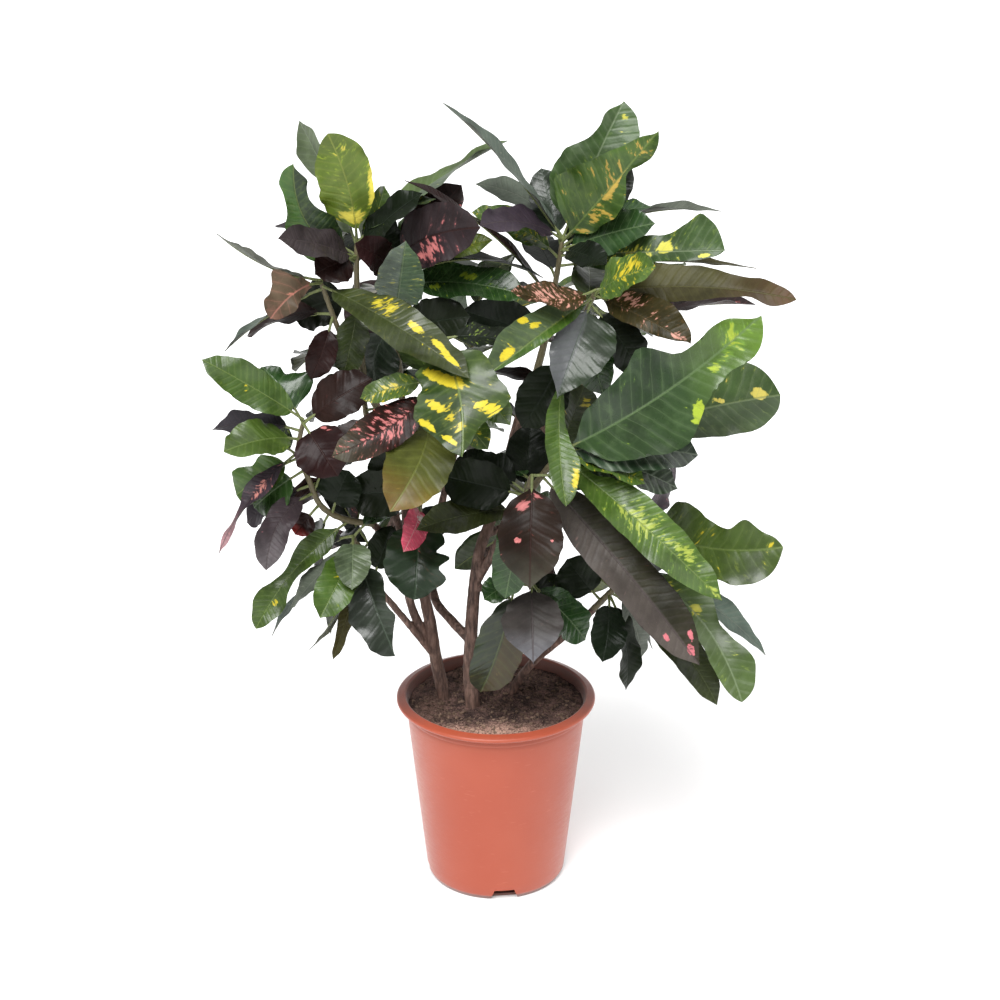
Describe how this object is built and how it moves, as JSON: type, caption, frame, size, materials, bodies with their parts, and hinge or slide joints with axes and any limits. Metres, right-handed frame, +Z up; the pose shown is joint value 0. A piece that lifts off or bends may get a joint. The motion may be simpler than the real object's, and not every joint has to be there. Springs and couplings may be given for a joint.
{
  "type": "potted croton plant",
  "caption": "Branched croton bush with fiddle-shaped, waved, spotted leaves, standing in a tapered round nursery pot filled with soil.",
  "frame": {"origin": "centre of the pot's flat underside", "axes": "+Z up along the pot's axis, -Y towards the front side that the picture shows, +X to that side's right"},
  "size_m": [0.6505, 0.5008, 0.9597],
  "materials": {
    "pot": "satin, terracotta-coloured",
    "soil": "damp, crumbly",
    "bark": "matte",
    "leaf": "satin, waxy"
  },
  "bodies": {
    "root": {"pot": "pot", "soil": "soil", "woody_stem_left": "bark", "woody_stem_middle": "bark", "woody_stem_right": "bark", "leafy_stem_top_left": "leaf", "leafy_stem_upper_left": "leaf", "leafy_stem_top_middle": "leaf", "leafy_stem_top_right": "leaf", "leafy_stem_upper_right": "leaf", "leafy_stem_centre": "leaf", "leafy_stem_right": "leaf", "leafy_stem_front": "leaf", "leafy_stem_left": "leaf", "leafy_stem_low_left": "leaf", "leafy_stem_low_middle": "leaf", "leafy_stem_low_right": "leaf", "leafy_stem_back_left": "leaf", "leafy_stem_back_middle": "leaf", "leafy_stem_back_right": "leaf", "leafy_stem_right_back": "leaf", "leafy_stem_low_back_left": "leaf", "leafy_stem_low_back_middle": "leaf", "leafy_stem_low_back_right": "leaf"}
  },
  "joints": []
}
